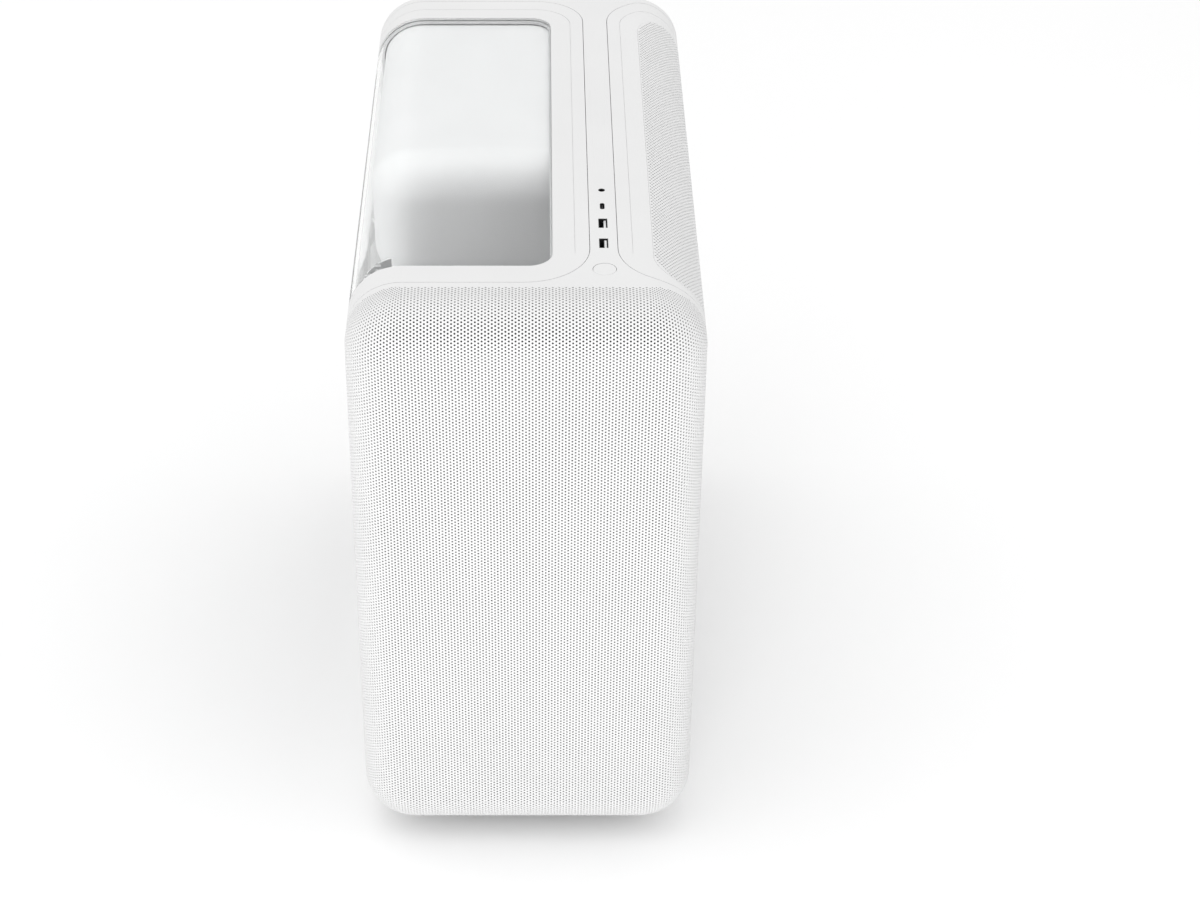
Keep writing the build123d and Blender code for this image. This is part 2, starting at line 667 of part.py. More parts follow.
CARD_FAN_Y = (-2, 96)
CARD_FAN_R = 44
CARD_FAN_X = (CARD_X[0] + CARD_X[1] - 4) / 2
SHROUD_Z = (CARD_Z - 40, CARD_Z - 0.8)
with BuildPart() as graphics_shroud:
    block((CARD_X[0], CARD_X[1] - 4), (CARD_Y[0], 200), SHROUD_Z)
    fillet(graphics_shroud.edges().filter_by(Axis.Z), 8)
    hollow = (SHROUD_Z[0] + 2, SHROUD_Z[1] + 1)
    block((CARD_X[0] + 2, CARD_X[1] - 6), (CARD_Y[0] + 6, 201), hollow, mode=Mode.SUBTRACT)
    for y in CARD_FAN_Y:
        post_z(CARD_FAN_X, y, CARD_FAN_R, (SHROUD_Z[0] - 1, SHROUD_Z[0] + 3), mode=Mode.SUBTRACT)
save(graphics_shroud.part, "graphics_shroud")

with BuildPart() as graphics_heatsink:
    sink = (CARD_Z - 20, CARD_Z - 0.8)
    block((CARD_X[0] + 4, CARD_X[1] - 8), (CARD_Y[0] + 12, 198), (CARD_Z - 6, CARD_Z - 0.8))
    for fin in range(32):
        y = CARD_Y[0] + 14 + 7.6 * fin
        block((CARD_X[0] + 4, CARD_X[1] - 8), (y, y + 1), sink)
    for y in CARD_FAN_Y:
        post_z(CARD_FAN_X, y, 2, (CARD_Z - 34, CARD_Z - 6))
save(graphics_heatsink.part, "graphics_heatsink")

for number, y in enumerate(CARD_FAN_Y, start=1):
    with BuildPart() as rotor:
        post_z(CARD_FAN_X, y, 15, (SHROUD_Z[0] + 3, CARD_Z - 22))
        with Locations((CARD_FAN_X, y, CARD_Z - 30)):
            with PolarLocations(28, 11):
                Box(28, 1.4, 11, rotation=(40, 0, 0))
        post_z(CARD_FAN_X, y, 2.05, (SHROUD_Z[0] + 5, CARD_Z - 21), mode=Mode.SUBTRACT)
    save(rotor.part, f"graphics_rotor_{number}")

with BuildPart() as graphics_bracket:
    plate = (REAR_PLATE_Y - 1.1, REAR_PLATE_Y)
    block((SLOT_X[0] - 6, SLOT_X[1] + 8), plate, (CARD_Z - SLOT_PITCH - 9, CARD_Z + 9))
    for step in range(3):
        x = -34 + 26 * step
        vent = (CARD_Z - 5, CARD_Z + 1)
        block((x, x + 17), (REAR_PLATE_Y - 2, REAR_PLATE_Y + 1), vent, mode=Mode.SUBTRACT)
save(graphics_bracket.part, "graphics_bracket")

# ---- Power supply and its pod ----
with BuildPart() as psu_pod:
    block((POD_LEFT, POD_RIGHT + POD_ROUND), (POD_FRONT, REAR_PLATE_Y + 40), (POD_LOW, POD_HIGH))
    upright_edges = psu_pod.edges().filter_by(Axis.Z).group_by(Axis.X)[0].sort_by(Axis.Y)[0]
    long_edges = psu_pod.edges().filter_by(Axis.Y).group_by(Axis.X)[0]
    front_edges = psu_pod.edges().filter_by(Axis.X).group_by(Axis.Y)[0]
    fillet([upright_edges] + list(long_edges) + list(front_edges), POD_ROUND)
    block((POD_RIGHT, SIDE), (FRONT, BACK + 80), (0, TOP + 5), mode=Mode.SUBTRACT)
    block((-SIDE, SIDE), (REAR_PLATE_Y - SLIP, BACK + 80), (0, TOP + 5), mode=Mode.SUBTRACT)
    openings = [psu_pod.faces().sort_by(Axis.X)[-1], psu_pod.faces().sort_by(Axis.Y)[-1]]
    offset(amount=-STEEL, openings=openings)
    # The rear corner on the window's side is cut round like the others.
    with BuildSketch(Plane.XY.offset(POD_LOW - 1)) as corner:
        rear = (POD_LEFT, REAR_PLATE_Y - SLIP)
        with Locations((rear[0] + POD_ROUND / 2, rear[1] - POD_ROUND / 2)):
            Rectangle(POD_ROUND, POD_ROUND)
        with Locations((rear[0] + POD_ROUND, rear[1] - POD_ROUND)):
            Circle(POD_ROUND, mode=Mode.SUBTRACT)
    extrude(amount=POD_HIGH - POD_LOW + 2, mode=Mode.SUBTRACT)
    # Air for the supply's fan comes in from below.
    for step in range(9):
        y = 125 + 10 * step
        block((-72, 8), (y, y + 5), (POD_LOW - 1, POD_LOW + 3), mode=Mode.SUBTRACT)
save(psu_pod.part, "psu_pod")

INLET_AT = (-72, 402)
SWITCH_AT = (-42, 402)
with BuildPart() as psu_case:
    block(*PSU)
    walls = [(low + 1.2, high - 1.2) for low, high in PSU]
    block(*walls, mode=Mode.SUBTRACT)
    cut = (PSU[1][1] - 2, PSU[1][1] + 1)
    for (x, z), width in ((INLET_AT, 28), (SWITCH_AT, 14)):
        block((x - width / 2, x + width / 2), cut, (z - 10.2, z + 10.2), mode=Mode.SUBTRACT)
    with BuildSketch(across(PSU[1][1] - 2)):
        with Locations((0, 402 - MID_Z)):
            with GridLocations(6, 6, 9, 8):
                Circle(2.2)
    extrude(amount=-3, mode=Mode.SUBTRACT)
    post_z(-32.5, 170, 43, (PSU[2][0] - 1, PSU[2][0] + 2), mode=Mode.SUBTRACT)
save(psu_case.part, "psu_case")

psu_fan_plane = Plane(origin=(-32.5, 170, PSU[2][0] + 1.3), x_dir=(1, 0, 0), z_dir=(0, 0, -1))
save(fan_frame(92, psu_fan_plane, depth=20), "psu_fan_frame")
save(fan_rotor(92, psu_fan_plane, depth=20, blades=7), "psu_fan_rotor")

# The mains inlet: a recessed three-pin socket.
PIN_SPOTS = ((0, 3.2), (-7, -1), (7, -1))
with BuildPart() as mains_inlet:
    x, z = INLET_AT
    block((x - 13.8, x + 13.8), (PSU[1][1] - 20, PSU[1][1]), (z - 10, z + 10))
    block((x - 13.8, x + 13.8), (PSU[1][1] - 0.1, PSU[1][1] + 1.2), (z - 10.1, z + 10.1))
    block((x - 12.3, x + 12.3), (PSU[1][1] - 16, PSU[1][1] + 2), (z - 8.4, z + 8.4), mode=Mode.SUBTRACT)
    for dx, dz in PIN_SPOTS:
        x, z = INLET_AT[0] + dx, INLET_AT[1] + dz
        block((x - 1, x + 1), (PSU[1][1] - 16, PSU[1][1] - 2), (z - 2, z + 2))
save(mains_inlet.part, "mains_inlet")

ROCKER_TILT = 8
with BuildPart() as switch_frame:
    x, z = SWITCH_AT
    block((x - 6.9, x + 6.9), (PSU[1][1] - 12, PSU[1][1] + 1.2), (z - 10.1, z + 10.1))
    block((x - 5.4, x + 5.4), (PSU[1][1] - 9, PSU[1][1] + 2), (z - 9.2, z + 9.2), mode=Mode.SUBTRACT)
    post_x(PSU[1][1] - 3, z, 1, (x - 6, x + 6))
save(switch_frame.part, "switch_frame")

with BuildPart() as switch_rocker:
    x, z = SWITCH_AT
    with BuildSketch(upright(x - 5.1)):
        with BuildLine():
            tilt = math.tan(math.radians(ROCKER_TILT))
            pivot = PSU[1][1] - 3
            half = 8
            Polyline(
                (pivot - 2.6, z - 3),
                (pivot - 2.6, z + 3),
                (pivot + 3.6 - 2 * half * tilt * 0.5, z + half),
                (pivot + 2.4, z),
                (pivot + 3.6 + half * tilt * 0.5, z - half),
                (pivot - 2.6, z - 3),
            )
        make_face()
    extrude(amount=10.2)
    post_x(pivot, z, 1.05, (x - 7, x + 7), mode=Mode.SUBTRACT)
save(switch_rocker.part, "switch_rocker")

# ---- Drives on the back of the tray ----
with BuildPart() as drive_bracket:
    left = TRAY_X + STEEL
    block((left, left + 1.2), (0, 110), (60, 150))
    block((left, left + 11), (0, 1.2), (60, 150))
    block((left, left + 11), (108.8, 110), (60, 150))
save(drive_bracket.part, "drive_bracket")

with BuildPart() as solid_state_drive:
    block((left + 1.2, left + 8.2), (4, 104), (68, 138))
    fillet(solid_state_drive.edges().filter_by(Axis.X), 3)
save(solid_state_drive.part, "solid_state_drive")

# ---- Controls and ports in the spine ----
SPINE_UNDER = TOP - FRAME_WALL
with BuildPart() as port_board:
    length = (BUTTON_Y - 12, PORT_AUDIO_Y + 14)
    block((SPINE_MID - 8, SPINE_MID + 8), length, (PORT_BOARD_TOP - BOARD_THICK, PORT_BOARD_TOP))
    for y in (BUTTON_Y + 22, PORT_AUDIO_Y + 10):
        block((SPINE_MID - 2, SPINE_MID + 2), (y - 2, y + 2), (PORT_BOARD_TOP - 0.1, SPINE_UNDER))
save(port_board.part, "port_board")

BUTTON_FOOT = PORT_BOARD_TOP + 6.6
with BuildPart() as power_button:
    post_z(SPINE_MID, BUTTON_Y, BUTTON_R, (TOP - 3.2, TOP))
    post_z(SPINE_MID, BUTTON_Y, 3, (BUTTON_FOOT, TOP - 3))
    fillet(power_button.faces().sort_by(Axis.Z)[-1].edges(), 0.5)
save(power_button.part, "power_button")

with BuildPart() as button_switch:
    height = (PORT_BOARD_TOP, PORT_BOARD_TOP + 3)
    block((SPINE_MID - 4, SPINE_MID + 4), (BUTTON_Y - 4, BUTTON_Y + 4), height)
    plunger = (PORT_BOARD_TOP + 3, BUTTON_FOOT - BUTTON_TRAVEL - 0.3)
    post_z(SPINE_MID, BUTTON_Y, 1.8, plunger)
save(button_switch.part, "button_switch")

with BuildPart() as usb_sockets:
    for y in PORT_USB_Y:
        block((SPINE_MID - 3, SPINE_MID + 3), (y - 6.45, y + 6.45), (PORT_BOARD_TOP, TOP - 0.3))
        mouth = (PORT_BOARD_TOP + 2, TOP)
        block((SPINE_MID - 2.6, SPINE_MID + 2.6), (y - 6.05, y + 6.05), mouth, mode=Mode.SUBTRACT)
        tongue = (PORT_BOARD_TOP + 1, TOP - 1.2)
        block((SPINE_MID + 0.5, SPINE_MID + 2.2), (y - 5.6, y + 5.6), tongue)
save(usb_sockets.part, "usb_sockets")

with BuildPart() as usb_c_socket:
    with BuildSketch(Plane.XY.offset(PORT_BOARD_TOP)):
        with Locations((SPINE_MID, PORT_C_Y)):
            SlotOverall(8.8, 3.2, rotation=90)
    extrude(amount=TOP - 0.2 - PORT_BOARD_TOP)
    with BuildSketch(Plane.XY.offset(PORT_BOARD_TOP + 6)):
        with Locations((SPINE_MID, PORT_C_Y)):
            SlotOverall(8.3, 2.6, rotation=90)
    extrude(amount=12, mode=Mode.SUBTRACT)
    tongue = (PORT_BOARD_TOP + 5, TOP - 1)
    block((SPINE_MID - 0.35, SPINE_MID + 0.35), (PORT_C_Y - 3.3, PORT_C_Y + 3.3), tongue)
save(usb_c_socket.part, "usb_c_socket")

with BuildPart() as audio_jack:
    post_z(SPINE_MID, PORT_AUDIO_Y, 2.35, (PORT_BOARD_TOP + 9, TOP - 0.2))
    body = (PORT_BOARD_TOP, PORT_BOARD_TOP + 10)
    block((SPINE_MID - 3, SPINE_MID + 3), (PORT_AUDIO_Y - 6, PORT_AUDIO_Y + 6), body)
    post_z(SPINE_MID, PORT_AUDIO_Y, 1.8, (PORT_BOARD_TOP + 1, TOP), mode=Mode.SUBTRACT)
save(audio_jack.part, "audio_jack")
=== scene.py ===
import bmesh
import bpy
import json
import math
import numpy as np
from mathutils import Matrix, Vector


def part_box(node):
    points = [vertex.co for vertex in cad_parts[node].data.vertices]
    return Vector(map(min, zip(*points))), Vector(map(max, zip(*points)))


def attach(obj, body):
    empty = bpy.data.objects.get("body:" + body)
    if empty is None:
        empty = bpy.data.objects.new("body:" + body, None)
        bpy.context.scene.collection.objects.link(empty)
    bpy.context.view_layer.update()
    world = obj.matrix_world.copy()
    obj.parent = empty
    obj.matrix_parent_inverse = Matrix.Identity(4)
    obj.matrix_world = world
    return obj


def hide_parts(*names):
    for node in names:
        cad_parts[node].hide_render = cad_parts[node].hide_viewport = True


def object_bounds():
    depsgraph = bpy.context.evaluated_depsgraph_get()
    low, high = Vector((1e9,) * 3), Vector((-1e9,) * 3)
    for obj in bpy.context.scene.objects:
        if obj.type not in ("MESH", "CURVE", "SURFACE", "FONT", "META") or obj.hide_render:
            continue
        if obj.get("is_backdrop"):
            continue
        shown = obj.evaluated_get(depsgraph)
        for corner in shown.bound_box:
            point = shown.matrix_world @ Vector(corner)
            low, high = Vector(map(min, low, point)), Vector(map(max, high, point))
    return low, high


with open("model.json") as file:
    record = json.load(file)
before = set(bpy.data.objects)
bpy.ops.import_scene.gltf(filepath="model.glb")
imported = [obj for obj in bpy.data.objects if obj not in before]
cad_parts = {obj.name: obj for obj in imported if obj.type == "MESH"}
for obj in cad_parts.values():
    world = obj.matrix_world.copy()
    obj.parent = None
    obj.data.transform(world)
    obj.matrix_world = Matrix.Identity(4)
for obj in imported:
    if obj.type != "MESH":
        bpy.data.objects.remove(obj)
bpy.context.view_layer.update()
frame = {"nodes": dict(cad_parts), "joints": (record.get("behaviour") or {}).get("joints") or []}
nodes = frame["nodes"]


# ---- Materials ----
class Look:
    """A Principled material whose patterns are built from nodes in object space."""

    def __init__(self, name, colour, roughness, **plain):
        self.material = bpy.data.materials.new(name)
        self.material.use_nodes = True
        self.tree = self.material.node_tree
        self.shader = self.tree.nodes["Principled BSDF"]
        self.colour = colour
        self.roughness = roughness
        self.shader.inputs["Base Color"].default_value = (*colour, 1)
        self.shader.inputs["Roughness"].default_value = roughness
        for socket, value in plain.items():
            self.shader.inputs[socket.replace("_", " ")].default_value = value
        self.place = self.tree.nodes.new("ShaderNodeTexCoord").outputs["Object"]
        self.height = None

    def node(self, kind, **values):
        made = self.tree.nodes.new(kind)
        for key, value in values.items():
            setattr(made, key, value)
        return made

    def link(self, a, b):
        self.tree.links.new(a, b)

    def stretched(self, scale):
        """Object coordinates scaled differently along each axis."""
        mapping = self.node("ShaderNodeMapping")
        mapping.inputs["Scale"].default_value = scale
        self.link(self.place, mapping.inputs["Vector"])
        return mapping.outputs["Vector"]

    def noise(self, scale, detail=3, at=None):
        made = self.node("ShaderNodeTexNoise")
        made.inputs["Scale"].default_value = scale
        made.inputs["Detail"].default_value = detail
        self.link(at or self.place, made.inputs["Vector"])
        return made.outputs["Fac"]

    def cells(self, scale, feature="F1", at=None):
        made = self.node("ShaderNodeTexVoronoi", feature=feature)
        made.inputs["Scale"].default_value = scale
        self.link(at or self.place, made.inputs["Vector"])
        return made.outputs["Distance"]

    def waves(self, scale, direction, at=None):
        made = self.node("ShaderNodeTexWave", bands_direction=direction)
        made.inputs["Scale"].default_value = scale
        self.link(at or self.place, made.inputs["Vector"])
        return made.outputs["Fac"]

    def ramp(self, value, low, high, steps=(0.3, 0.7)):
        """Turns a 0..1 pattern into a colour between two colours."""
        made = self.node("ShaderNodeValToRGB")
        made.color_ramp.elements[0].position = steps[0]
        made.color_ramp.elements[1].position = steps[1]
        made.color_ramp.elements[0].color = (*low, 1)
        made.color_ramp.elements[1].color = (*high, 1)
        self.link(value, made.inputs["Fac"])
        return made.outputs["Color"]

    def shade(self, value, spread=0.03, steps=(0.3, 0.7)):
        """Varies the base colour a little, darker and lighter."""
        low = [c * (1 - spread) for c in self.colour]
        high = [min(1, c * (1 + spread)) for c in self.colour]
        self.link(self.ramp(value, low, high, steps), self.shader.inputs["Base Color"])
        return self

    def paint(self, colour):
        self.link(colour, self.shader.inputs["Base Color"])
        return self

    def rough(self, value, spread=0.08):
        """Varies the roughness about its plain value."""
        made = self.node("ShaderNodeMapRange")
        made.inputs["To Min"].default_value = self.roughness - spread
        made.inputs["To Max"].default_value = self.roughness + spread
        self.link(value, made.inputs["Value"])
        self.link(made.outputs["Result"], self.shader.inputs["Roughness"])
        return self

    def bump(self, value, depth):
        """Adds relief of that depth in metres; several calls stack up."""
        made = self.node("ShaderNodeBump")
        made.inputs["Distance"].default_value = depth
        made.inputs["Strength"].default_value = 1
        self.link(value, made.inputs["Height"])
        if self.height:
            self.link(self.height, made.inputs["Normal"])
        self.height = made.outputs["Normal"]
        self.link(self.height, self.shader.inputs["Normal"])
        return self


def moulding():
    look = Look("white_moulding", (0.72, 0.72, 0.72), 0.45, Specular_IOR_Level=0.4)
    grain = look.cells(2600)
    look.shade(look.noise(14, 4), 0.012).rough(look.noise(60, 4), 0.05)
    return look.bump(grain, 0.00003).bump(look.noise(900, 2), 0.00002).material


def powder_coat(name, colour, roughness=0.5):
    """Powder-coated steel, with a fine orange peel."""
    look = Look(name, colour, roughness, Specular_IOR_Level=0.4)
    look.shade(look.noise(20, 4), 0.015).rough(look.noise(120, 3), 0.06)
    return look.bump(look.noise(1400, 2), 0.00004).material


def fan_plastic():
    look = Look("white_fan_plastic", (0.7, 0.7, 0.71), 0.42)
    look.shade(look.noise(30, 3), 0.02).rough(look.noise(200, 3), 0.08)
    return look.bump(look.cells(1800), 0.00003).material


def dark_plastic(name="dark_plastic", colour=(0.018, 0.018, 0.02)):
    look = Look(name, colour, 0.5)
    look.shade(look.noise(60, 3), 0.25).rough(look.noise(300, 3), 0.1)
    return look.bump(look.cells(2200), 0.00004).material


def circuit():
    """Dark solder mask with traces, copper areas and a fine laminate weave."""
    look = Look("circuit_board", (0.016, 0.02, 0.024), 0.32, Specular_IOR_Level=0.5)
    run_a = look.waves(55, "DIAGONAL", look.stretched((1, 1, 1)))
    run_b = look.waves(160, "Z")
    field = look.cells(16)
    mask = look.node("ShaderNodeMath", operation="GREATER_THAN")
    mask.inputs[1].default_value = 0.42
    look.link(field, mask.inputs[0])
    choose = look.node("ShaderNodeMix")
    look.link(mask.outputs[0], choose.inputs[0])
    look.link(run_a, choose.inputs[2])
    look.link(run_b, choose.inputs[3])
    traces = choose.outputs[0]
    look.paint(look.ramp(traces, (0.012, 0.014, 0.017), (0.03, 0.036, 0.042), (0.45, 0.6)))
    weave = look.cells(1500, "DISTANCE_TO_EDGE")
    return look.bump(traces, 0.00005).bump(weave, 0.00001).rough(look.noise(80, 2), 0.06).material


def brushed(name, colour, roughness, along=(30, 30, 900)):
    """Metal with fine drawn lines."""
    look = Look(name, colour, roughness, Metallic=1.0)
    lines = look.noise(1, 2, look.stretched(along))
    look.shade(lines, 0.06).rough(lines, 0.08)
    return look.bump(lines, 0.00001).material


def rubber(name, colour):
    look = Look(name, colour, 0.75, Specular_IOR_Level=0.3)
    look.shade(look.noise(40, 4), 0.06).rough(look.noise(150, 3), 0.08)
    return look.bump(look.noise(700, 3), 0.00005).material


def net(name, colour, pitch=0.0009):
    """Fine woven nylon; made dark, it also serves as the painted shade behind the perforated
    sheets' holes.
    """
    look = Look(name, colour, 0.7, Specular_IOR_Level=0.3)
    scale = 1 / pitch / 6.2832 * 2
    weave = look.node("ShaderNodeMath", operation="MAXIMUM")
    look.link(look.waves(scale, "X"), weave.inputs[0])
    look.link(look.waves(scale, "Z"), weave.inputs[1])
    low = [c * 0.45 for c in colour]
    look.paint(look.ramp(weave.outputs[0], low, colour, (0.3, 0.75)))
    return look.bump(weave.outputs[0], 0.00012).material


def window_pane():
    """Clear tempered glass. Lamps shine through it, as through the real pane."""
    look = Look("window_glass", (0.985, 0.99, 0.988), 0.004, Transmission_Weight=1.0, IOR=1.05)
    look.rough(look.noise(9, 5), 0.003)
    clear = look.node("ShaderNodeBsdfTransparent")
    clear.inputs["Color"].default_value = (0.97, 0.98, 0.975, 1)
    path = look.node("ShaderNodeLightPath")
    mix = look.node("ShaderNodeMixShader")
    look.link(path.outputs["Is Shadow Ray"], mix.inputs[0])
    look.link(look.shader.outputs[0], mix.inputs[1])
    look.link(clear.outputs[0], mix.inputs[2])
    look.link(mix.outputs[0], look.tree.nodes["Material Output"].inputs["Surface"])
    return look.material


WHITE = moulding()
COATED = powder_coat("white_steel", (0.7, 0.7, 0.705))
POD_WHITE = powder_coat("pod_white", (0.78, 0.78, 0.785), 0.45)
SHEET = powder_coat("perforated_steel", (0.72, 0.72, 0.72), 0.5)
BORE = Look("bore_walls", (0.8, 0.8, 0.8), 0.5).material
BLACK_COAT = powder_coat("black_steel", (0.03, 0.03, 0.032), 0.45)
FAN_WHITE = fan_plastic()
DARK = dark_plastic()
SOCKET = dark_plastic("socket_plastic", (0.01, 0.01, 0.011))
BOARD = circuit()
STEEL = brushed("bare_steel", (0.6, 0.6, 0.61), 0.32)
ALUMINIUM = brushed("aluminium", (0.77, 0.78, 0.79), 0.3, (900, 30, 30))
BRASS = brushed("brass", (0.72, 0.55, 0.28), 0.3)
RUBBER = rubber("soft_rubber", (0.3, 0.3, 0.31))
SEAL = rubber("window_seal", (0.6, 0.6, 0.605))
NET = net("filter_net", (0.5, 0.5, 0.51))
# A dark sheet just behind the sheets' holes: its colour is painted shade, for the shade seen
# through the holes.
HOLE_SHADE_BACKING = net("hole_backing_painted_shade", (0.12, 0.12, 0.122), 0.0006)
TONGUE = dark_plastic("white_insulator", (0.75, 0.75, 0.76))
BLACK = dark_plastic("component_black", (0.012, 0.012, 0.013))
GLASS = window_pane()

FINISH = {
    WHITE: ["front_panel_carrier", "backbone_frame", "left_cover", "right_cover", "power_button"],
    COATED: [
        "base_plate", "motherboard_tray", "rear_plate", "slot_covers", "fan_bracket",
        "drive_bracket", "front_mesh_panel", "side_mesh_insert",
    ],
    POD_WHITE: ["psu_pod"],
    NET: ["front_dust_filter", "side_dust_filter"],
    GLASS: ["window_glass"],
    SEAL: ["glass_gasket"],
    RUBBER: ["feet"],
    FAN_WHITE: [
        "front_fan_frame_1", "front_fan_frame_2", "front_fan_frame_3", "front_fan_rotor_1",
        "front_fan_rotor_2", "front_fan_rotor_3", "rear_fan_frame", "rear_fan_rotor",
        "graphics_shroud",
    ],
    DARK: [
        "cooler_fan_frame", "cooler_fan_rotor", "graphics_rotor_1", "graphics_rotor_2",
        "psu_fan_frame", "psu_fan_rotor", "switch_frame", "switch_rocker", "solid_state_drive",
        "board_connectors", "cpu_socket",
    ],
    SOCKET: ["usb_sockets", "usb_c_socket", "audio_jack", "button_switch", "mains_inlet"],
    BLACK_COAT: ["psu_case", "cooler_heatsink", "graphics_backplate"],
    BOARD: ["motherboard", "port_board", "graphics_board"],
    STEEL: ["screws", "rear_io_ports", "io_shield", "graphics_bracket"],
    ALUMINIUM: ["graphics_heatsink", "board_heatsinks", "ram_modules", "processor"],
    BRASS: ["board_standoffs"],
}
for material, names in FINISH.items():
    for name in names:
        slots = nodes[name].data.materials
        slots.clear()
        slots.append(material)


# ---- Mesh helpers ----
def new_mesh(name, points, faces, material, smooth=False):
    """An object with that mesh, in the row frame."""
    mesh = bpy.data.meshes.new(name)
    mesh.from_pydata(np.asarray(points, float).tolist(), [], faces)
    mesh.materials.append(material)
    mesh.update()
    if smooth:
        mesh.shade_smooth()
    made = bpy.data.objects.new(name, mesh)
    bpy.context.scene.collection.objects.link(made)
    return made


def brick(shape, low, high, cut=0.0003):
    """Adds a box with chamfered edges to a bmesh."""
    low, high = Vector(low), Vector(high)
    corners = bmesh.ops.create_cube(shape, size=1)["verts"]
    for corner in corners:
        share = corner.co + Vector((0.5, 0.5, 0.5))
        corner.co = low + share * (high - low)
    edges = list({edge for corner in corners for edge in corner.link_edges})
    bmesh.ops.bevel(shape, geom=edges, offset=cut, segments=1, affect="EDGES")


def turned(shape, profile, place, sides=32):
    """Adds a body of revolution: (radius, height) points about the placed Z axis."""
    rings = []
    for radius, height in profile:
        if radius == 0:
            rings.append([shape.verts.new(place @ Vector((0, 0, height)))])
            continue
        ring = []
        for side in range(sides):
            turn = 2 * math.pi * side / sides
            spot = Vector((radius * math.cos(turn), radius * math.sin(turn), height))
            ring.append(shape.verts.new(place @ spot))
        rings.append(ring)
    for low, high in zip(rings, rings[1:]):
        for side in range(sides):
            after = (side + 1) % sides
            if len(low) == 1:
                shape.faces.new((low[0], high[after], high[side]))
            elif len(high) == 1:
                shape.faces.new((low[side], low[after], high[0]))
            else:
                shape.faces.new((low[side], low[after], high[after], high[side]))


def facing(spot, direction):
    """A placement whose Z axis points in that direction."""
    turn = Vector(direction).to_track_quat("Z", "Y").to_matrix().to_4x4()
    return Matrix.Translation(Vector(spot)) @ turn


def settle(name, shape, material, body, sharp=35):
    """Turns a bmesh into a piece that rides on that body."""
    bmesh.ops.recalc_face_normals(shape, faces=shape.faces)
    mesh = bpy.data.meshes.new(name)
    shape.to_mesh(mesh)
    shape.free()
    mesh.materials.append(material)
    mesh.shade_smooth()
    mesh.set_sharp_from_angle(angle=math.radians(sharp))
    made = bpy.data.objects.new(name, mesh)
    bpy.context.scene.collection.objects.link(made)
    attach(made, body)
    return made


# ---- Fan rotors ----
BLADE_STATIONS = 9
BLADE_STEPS = 8
BLADE_THICK = 0.0013
BLADE_CAMBER = 0.0016
BLADE_ROOT = 0.0006  # how far a blade reaches into its hub
BLADE_CLEAR = 0.0004  # between a blade's tip and the CAD blade's
BLADE_SHORT = 0.004  # how much lower a blade is than its hub
PITCH_AT_HUB = 50
PITCH_AT_TIP = 28
SWEEP = 0.32
SWEEP_CURVE = 1.6
EDGE_SHARE = 0.35  # a blade's thickness at its edges, of its greatest
HUB_WALL = 0.0014
HUB_CAP = 0.0009
HUB_SINK = 0.0001  # the cap lies this far inside the CAD hub's end
HUB_SIDES = 48


def blade(shape, place, hub, tip, height, start):
    """One cambered blade, steep at the hub and flatter and swept at the tip."""
    rings = []
    for station in range(BLADE_STATIONS):
        out = station / (BLADE_STATIONS - 1)
        root = hub - BLADE_ROOT
        radius = root + (tip - root) * out
        pitch = math.radians(PITCH_AT_HUB + (PITCH_AT_TIP - PITCH_AT_HUB) * out)
        width = height / math.tan(pitch)
        middle = start + SWEEP * out ** SWEEP_CURVE
        upper, lower = [], []
        for step in range(BLADE_STEPS + 1):
            along = step / BLADE_STEPS
            turn = middle + (along - 0.5) * width / radius
            crown = math.sin(math.pi * along)
            rise = (along - 0.5) * height + BLADE_CAMBER * crown
            thick = BLADE_THICK * (EDGE_SHARE + (1 - EDGE_SHARE) * crown)
            half = thick / 2 / math.cos(pitch)
            x, y = radius * math.cos(turn), radius * math.sin(turn)
            upper.append(shape.verts.new(place @ Vector((x, y, rise + half))))
            lower.append(shape.verts.new(place @ Vector((x, y, rise - half))))
        rings.append(upper + lower[::-1])
    count = len(rings[0])
    for inner, outer in zip(rings, rings[1:]):
        for here in range(count):
            after = (here + 1) % count
            shape.faces.new((inner[here], inner[after], outer[after], outer[here]))
    shape.faces.new(rings[-1])


def rotor(joint, inlet, blades, hub, material):
    """A hollow hub with curved blades in place of a CAD rotor."""
    name = joint["child"]
    low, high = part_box(name)
    axis = Vector(inlet)
    depth = abs((high - low).dot(axis))
    centre = Vector(joint["pos_m"])
    centre += axis * (((low + high) / 2 - centre).dot(axis))
    across_axis = [span for span, share in zip(high - low, axis) if share == 0]
    tip = max(across_axis) / 2 - BLADE_CLEAR
    place = facing(centre, axis)
    top, foot = depth / 2, -depth / 2
    face = top - HUB_SINK
    groove = hub * 0.72
    # The cap with its groove, the rounded rim, then the hollow inside.
    profile = [
        (0, face),
        (groove - 0.0004, face),
        (groove, top - 0.0004),
        (groove + 0.0004, face),
        (hub - 0.0018, face),
        (hub - 0.0005, top - 0.0006),
        (hub, top - 0.0019),
        (hub, foot),
        (hub - HUB_WALL, foot),
        (hub - HUB_WALL, top - HUB_CAP),
        (0, top - HUB_CAP),
    ]
    shape = bmesh.new()
    turned(shape, profile, place, HUB_SIDES)
    for number in range(blades):
        start = 2 * math.pi * number / blades
        blade(shape, place, hub, tip, depth - BLADE_SHORT, start)
    made = settle(name + "_bladed", shape, material, name)
    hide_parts(name)


